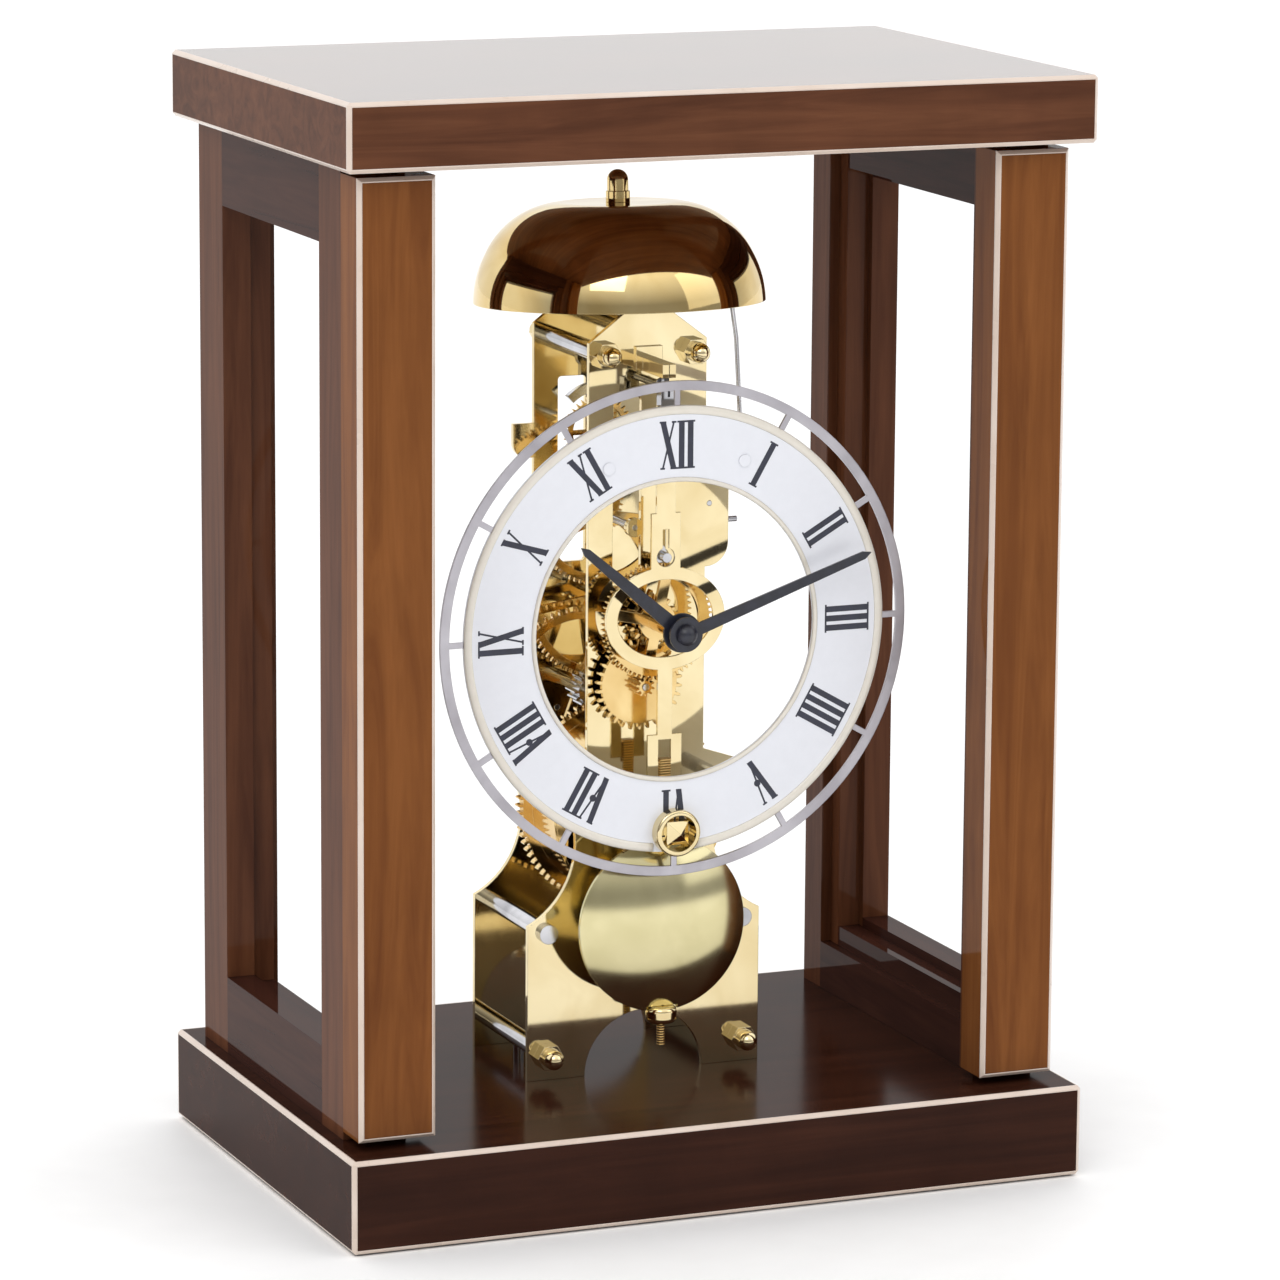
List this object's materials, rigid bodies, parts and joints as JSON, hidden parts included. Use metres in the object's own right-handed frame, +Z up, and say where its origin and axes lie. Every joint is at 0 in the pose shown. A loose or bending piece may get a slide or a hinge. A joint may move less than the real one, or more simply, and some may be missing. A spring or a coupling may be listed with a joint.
{
  "type": "skeleton clock",
  "caption": "Open wooden-cased skeleton clock: two brass plates carry a wheel train, open Roman chapter ring, hands, short pendulum with lens bob, and a bell struck by a hammer.",
  "frame": {"origin": "under the middle of the base, on the surface that the clock stands on", "axes": "+Z up, +Y from the dial to the back, +X to the right of someone reading the dial"},
  "size_m": [0.21, 0.145, 0.3],
  "materials": {
    "walnut": "high gloss stained lacquer",
    "cream_wood": "glossy pale strip",
    "felt": "matte",
    "polished_brass": "mirror polished",
    "bell_brass": "polished",
    "steel": "polished",
    "dark_steel": "satin",
    "dial_enamel": "gloss white",
    "dial_silver": "satin",
    "hand_blue_black": "satin"
  },
  "bodies": {
    "case": {"base_slab": "walnut", "base_edge_inlay": "cream_wood", "base_feet": "felt", "base_screws": "steel", "top_slab": "walnut", "top_edge_inlay": "cream_wood", "left_front_stile": "walnut", "right_front_stile": "walnut", "left_back_stile": "walnut", "right_back_stile": "walnut", "lower_rails": "walnut", "upper_rails": "walnut", "pilasters": "walnut", "pilaster_inlays": "cream_wood", "front_plate": "polished_brass", "back_plate": "polished_brass", "plate_pillars": "steel", "acorn_nuts": "polished_brass", "front_plate_studs": "steel", "plate_pins": "steel", "click_spring": "dark_steel", "suspension_cock": "polished_brass", "suspension_spring": "dark_steel", "bell": "bell_brass", "bell_post": "polished_brass", "bell_nut": "bell_brass", "dial_plate": "dial_enamel", "dial_ring": "dial_silver", "dial_screws": "dial_enamel", "winding_eyelet": "polished_brass"},
    "barrel": {"great_wheel": "polished_brass", "barrel_cover": "polished_brass", "mainspring": "dark_steel"},
    "winding": {"barrel_arbor": "polished_brass", "ratchet_wheel": "polished_brass"},
    "click": {"click": "steel"},
    "second_shaft": {"second_arbor": "steel", "second_wheel": "polished_brass"},
    "centre_shaft": {"centre_arbor": "steel", "centre_wheel": "polished_brass"},
    "third_shaft": {"third_arbor": "steel", "third_wheel": "polished_brass"},
    "escape_shaft": {"escape_arbor": "steel", "escape_wheel": "polished_brass"},
    "anchor_shaft": {"anchor": "steel", "crutch": "steel"},
    "pendulum": {"suspension_clamp": "steel", "pendulum_leader": "polished_brass", "pendulum_hook": "polished_brass"},
    "bob": {"pendulum_bob": "polished_brass"},
    "rating_nut": {"rating_nut": "polished_brass"},
    "minute_work": {"cannon_pinion": "polished_brass", "minute_hand": "hand_blue_black", "hand_nut": "hand_blue_black"},
    "minute_idler": {"minute_wheel": "polished_brass"},
    "hour_work": {"hour_wheel": "polished_brass", "hour_hand": "hand_blue_black"},
    "hammer": {"hammer_arbor": "steel", "hammer_wire": "steel", "hammer_head": "polished_brass"}
  },
  "joints": [
    {"name": "barrel_turn", "type": "hinge", "parent": "case", "child": "barrel", "pos_m": [0, 0, 0.097], "axis": [0, 1, 0], "continuous": true},
    {"name": "winding_turn", "type": "hinge", "parent": "case", "child": "winding", "pos_m": [0, 0, 0.097], "axis": [0, 1, 0], "continuous": true},
    {"name": "click_lift", "type": "hinge", "parent": "case", "child": "click", "pos_m": [-0.01077, 0, 0.11079], "axis": [0, 1, 0], "range_deg": [-8, 0]},
    {"name": "second_turn", "type": "hinge", "parent": "case", "child": "second_shaft", "pos_m": [-0.00887, 0, 0.12841], "axis": [0, 1, 0], "continuous": true},
    {"name": "centre_turn", "type": "hinge", "parent": "case", "child": "centre_shaft", "pos_m": [0, 0, 0.152], "axis": [0, 1, 0], "continuous": true},
    {"name": "third_turn", "type": "hinge", "parent": "case", "child": "third_shaft", "pos_m": [-0.0035, 0, 0.17639], "axis": [0, 1, 0], "continuous": true},
    {"name": "escape_turn", "type": "hinge", "parent": "case", "child": "escape_shaft", "pos_m": [0, 0, 0.1971], "axis": [0, 1, 0], "continuous": true},
    {"name": "anchor_rock", "type": "hinge", "parent": "case", "child": "anchor_shaft", "pos_m": [0, 0, 0.2163], "axis": [0, 1, 0], "range_deg": [-3, 3]},
    {"name": "pendulum_swing", "type": "hinge", "parent": "case", "child": "pendulum", "pos_m": [0, 0, 0.2163], "axis": [0, 1, 0], "range_deg": [-3, 3]},
    {"name": "bob_regulate", "type": "slide", "parent": "pendulum", "child": "bob", "axis": [0, 0, 1], "range_m": [-0.00105, 0.00105]},
    {"name": "rating_nut_turn", "type": "hinge", "parent": "bob", "child": "rating_nut", "pos_m": [0, -0.0272, 0.044], "axis": [0, 0, 1], "range_deg": [-540, 540]},
    {"name": "minute_hand_turn", "type": "hinge", "parent": "case", "child": "minute_work", "pos_m": [0, 0, 0.152], "axis": [0, 1, 0], "continuous": true},
    {"name": "minute_wheel_turn", "type": "hinge", "parent": "case", "child": "minute_idler", "pos_m": [-0.0036, 0, 0.13436], "axis": [0, 1, 0], "continuous": true},
    {"name": "hour_hand_turn", "type": "hinge", "parent": "case", "child": "hour_work", "pos_m": [0, 0, 0.152], "axis": [0, 1, 0], "continuous": true},
    {"name": "hammer_strike", "type": "hinge", "parent": "case", "child": "hammer", "pos_m": [0.0182, 0, 0.1818], "axis": [0, 1, 0], "range_deg": [-10, 0.6]}
  ],
  "couplings": [
    {"joint": "barrel_turn", "follows": "centre_turn", "ratio": 0.02381},
    {"joint": "second_turn", "follows": "centre_turn", "ratio": -0.16667},
    {"joint": "third_turn", "follows": "centre_turn", "ratio": -10},
    {"joint": "escape_turn", "follows": "centre_turn", "ratio": 130},
    {"joint": "minute_hand_turn", "follows": "centre_turn", "ratio": 1},
    {"joint": "minute_wheel_turn", "follows": "centre_turn", "ratio": -0.53333},
    {"joint": "hour_hand_turn", "follows": "centre_turn", "ratio": 0.083333},
    {"joint": "anchor_rock", "follows": "pendulum_swing", "ratio": 1},
    {"joint": "rating_nut_turn", "follows": "bob_regulate", "rad_per_m": 8976}
  ]
}
